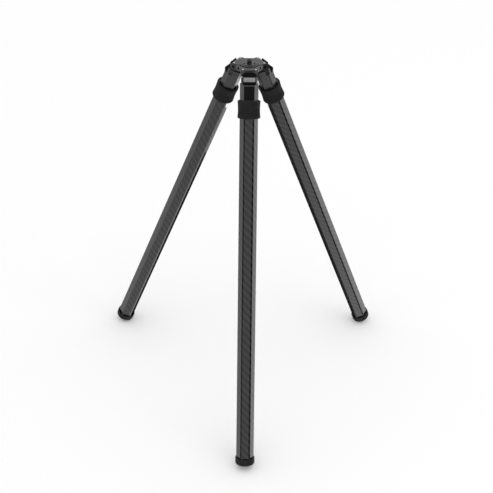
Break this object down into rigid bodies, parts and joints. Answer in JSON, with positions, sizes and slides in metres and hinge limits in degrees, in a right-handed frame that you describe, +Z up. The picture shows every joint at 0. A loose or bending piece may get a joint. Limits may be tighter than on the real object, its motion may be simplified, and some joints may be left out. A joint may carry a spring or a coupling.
{
  "type": "tripod leg set",
  "caption": "Folding three-legged camera support: a round head platform with a screw stud on a spider, and hexagonal telescoping legs with twist collars and angle latches.",
  "frame": {"origin": "centre of the head platform's top face, at the foot of the stud", "axes": "+Z up along the head stud, the front leg points along -Y, the other two legs at 30 and 150 degrees from +X"},
  "size_m": [0.5922, 0.518, 0.7487],
  "materials": {
    "anodised": "satin black anodised",
    "steel": "satin",
    "black_steel": "black oxide",
    "polished_steel": "polished",
    "brass": "satin",
    "carbon": "clear-coated twill carbon fibre",
    "latch_black": "fine matt",
    "latch_metal": "satin silver",
    "rubber": "fine knurl",
    "lock_plastic": "moulded",
    "drive_metal": "natural anodised"
  },
  "bodies": {
    "apex": {"spider": "anodised", "top_plate": "anodised", "plate_screws": "steel", "head_lock_screws": "black_steel", "hinge_pins": "black_steel", "hinge_lock_screws": "polished_steel", "hinge_washers": "brass", "accessory_inserts": "black_steel", "stud_washer": "brass"},
    "stud": {"head_stud": "black_steel", "stud_knob": "anodised", "knob_screw": "steel"},
    "leg_front": {"yoke_front": "anodised", "outer_tube_front": "carbon", "latch_spring_front": "steel"},
    "latch_front": {"latch_front": "latch_black", "latch_tab_front": "latch_metal", "latch_bolt_front": "steel"},
    "collar_front": {"collar_grip_front": "rubber", "collar_core_front": "lock_plastic", "drive_rod_front": "drive_metal"},
    "mid_front": {"mid_tube_front": "carbon", "mid_lock_front": "lock_plastic"},
    "mid_cam_front": {"mid_cam_front": "drive_metal"},
    "inner_front": {"inner_tube_front": "carbon", "inner_lock_front": "lock_plastic", "foot_front": "rubber"},
    "inner_cam_front": {"inner_cam_front": "drive_metal"},
    "leg_right": {"yoke_right": "anodised", "outer_tube_right": "carbon", "latch_spring_right": "steel"},
    "latch_right": {"latch_right": "latch_black", "latch_tab_right": "latch_metal", "latch_bolt_right": "steel"},
    "collar_right": {"collar_grip_right": "rubber", "collar_core_right": "lock_plastic", "drive_rod_right": "drive_metal"},
    "mid_right": {"mid_tube_right": "carbon", "mid_lock_right": "lock_plastic"},
    "mid_cam_right": {"mid_cam_right": "drive_metal"},
    "inner_right": {"inner_tube_right": "carbon", "inner_lock_right": "lock_plastic", "foot_right": "rubber"},
    "inner_cam_right": {"inner_cam_right": "drive_metal"},
    "leg_left": {"yoke_left": "anodised", "outer_tube_left": "carbon", "latch_spring_left": "steel"},
    "latch_left": {"latch_left": "latch_black", "latch_tab_left": "latch_metal", "latch_bolt_left": "steel"},
    "collar_left": {"collar_grip_left": "rubber", "collar_core_left": "lock_plastic", "drive_rod_left": "drive_metal"},
    "mid_left": {"mid_tube_left": "carbon", "mid_lock_left": "lock_plastic"},
    "mid_cam_left": {"mid_cam_left": "drive_metal"},
    "inner_left": {"inner_tube_left": "carbon", "inner_lock_left": "lock_plastic", "foot_left": "rubber"},
    "inner_cam_left": {"inner_cam_left": "drive_metal"}
  },
  "joints": [
    {"name": "stud_turn", "type": "hinge", "parent": "apex", "child": "stud", "pos_m": [0, 0, 0], "axis": [0, 0, 1], "continuous": true},
    {"name": "spread_front", "type": "hinge", "parent": "apex", "child": "leg_front", "pos_m": [0, -0.026, -0.0092], "axis": [-1, 0, 0], "range_deg": [-22, 58]},
    {"name": "latch_pull_front", "type": "slide", "parent": "leg_front", "child": "latch_front", "axis": [0, -0.9261, 0.3772], "range_m": [0, 0.005], "stiffness_N_per_m": 900, "deforming": ["latch_spring_front"]},
    {"name": "collar_twist_front", "type": "hinge", "parent": "leg_front", "child": "collar_front", "pos_m": [0, -0.026, -0.0092], "axis": [0, 0.3772, 0.9261], "range_deg": [0, 45]},
    {"name": "mid_slide_front", "type": "slide", "parent": "leg_front", "child": "mid_front", "axis": [0, -0.3772, -0.9261], "range_m": [0, 0.5]},
    {"name": "mid_cam_turn_front", "type": "hinge", "parent": "mid_front", "child": "mid_cam_front", "pos_m": [0, -0.026, -0.0092], "axis": [0, 0.3772, 0.9261], "range_deg": [0, 45]},
    {"name": "inner_slide_front", "type": "slide", "parent": "mid_front", "child": "inner_front", "axis": [0, -0.3772, -0.9261], "range_m": [0, 0.5]},
    {"name": "inner_cam_turn_front", "type": "hinge", "parent": "inner_front", "child": "inner_cam_front", "pos_m": [0, -0.026, -0.0092], "axis": [0, 0.3772, 0.9261], "range_deg": [0, 45]},
    {"name": "spread_right", "type": "hinge", "parent": "apex", "child": "leg_right", "pos_m": [0.02252, 0.013, -0.0092], "axis": [0.5, -0.866, 0], "range_deg": [-22, 58]},
    {"name": "latch_pull_right", "type": "slide", "parent": "leg_right", "child": "latch_right", "axis": [0.8021, 0.4631, 0.3772], "range_m": [0, 0.005], "stiffness_N_per_m": 900, "deforming": ["latch_spring_right"]},
    {"name": "collar_twist_right", "type": "hinge", "parent": "leg_right", "child": "collar_right", "pos_m": [0.02252, 0.013, -0.0092], "axis": [-0.3267, -0.1886, 0.9261], "range_deg": [0, 45]},
    {"name": "mid_slide_right", "type": "slide", "parent": "leg_right", "child": "mid_right", "axis": [0.3267, 0.1886, -0.9261], "range_m": [0, 0.5]},
    {"name": "mid_cam_turn_right", "type": "hinge", "parent": "mid_right", "child": "mid_cam_right", "pos_m": [0.02252, 0.013, -0.0092], "axis": [-0.3267, -0.1886, 0.9261], "range_deg": [0, 45]},
    {"name": "inner_slide_right", "type": "slide", "parent": "mid_right", "child": "inner_right", "axis": [0.3267, 0.1886, -0.9261], "range_m": [0, 0.5]},
    {"name": "inner_cam_turn_right", "type": "hinge", "parent": "inner_right", "child": "inner_cam_right", "pos_m": [0.02252, 0.013, -0.0092], "axis": [-0.3267, -0.1886, 0.9261], "range_deg": [0, 45]},
    {"name": "spread_left", "type": "hinge", "parent": "apex", "child": "leg_left", "pos_m": [-0.02252, 0.013, -0.0092], "axis": [0.5, 0.866, 0], "range_deg": [-22, 58]},
    {"name": "latch_pull_left", "type": "slide", "parent": "leg_left", "child": "latch_left", "axis": [-0.8021, 0.4631, 0.3772], "range_m": [0, 0.005], "stiffness_N_per_m": 900, "deforming": ["latch_spring_left"]},
    {"name": "collar_twist_left", "type": "hinge", "parent": "leg_left", "child": "collar_left", "pos_m": [-0.02252, 0.013, -0.0092], "axis": [0.3267, -0.1886, 0.9261], "range_deg": [0, 45]},
    {"name": "mid_slide_left", "type": "slide", "parent": "leg_left", "child": "mid_left", "axis": [-0.3267, 0.1886, -0.9261], "range_m": [0, 0.5]},
    {"name": "mid_cam_turn_left", "type": "hinge", "parent": "mid_left", "child": "mid_cam_left", "pos_m": [-0.02252, 0.013, -0.0092], "axis": [0.3267, -0.1886, 0.9261], "range_deg": [0, 45]},
    {"name": "inner_slide_left", "type": "slide", "parent": "mid_left", "child": "inner_left", "axis": [-0.3267, 0.1886, -0.9261], "range_m": [0, 0.5]},
    {"name": "inner_cam_turn_left", "type": "hinge", "parent": "inner_left", "child": "inner_cam_left", "pos_m": [-0.02252, 0.013, -0.0092], "axis": [0.3267, -0.1886, 0.9261], "range_deg": [0, 45]}
  ],
  "couplings": [
    {"joint": "mid_cam_turn_front", "follows": "collar_twist_front", "ratio": 1},
    {"joint": "inner_cam_turn_front", "follows": "collar_twist_front", "ratio": 1},
    {"joint": "mid_cam_turn_right", "follows": "collar_twist_right", "ratio": 1},
    {"joint": "inner_cam_turn_right", "follows": "collar_twist_right", "ratio": 1},
    {"joint": "mid_cam_turn_left", "follows": "collar_twist_left", "ratio": 1},
    {"joint": "inner_cam_turn_left", "follows": "collar_twist_left", "ratio": 1}
  ]
}
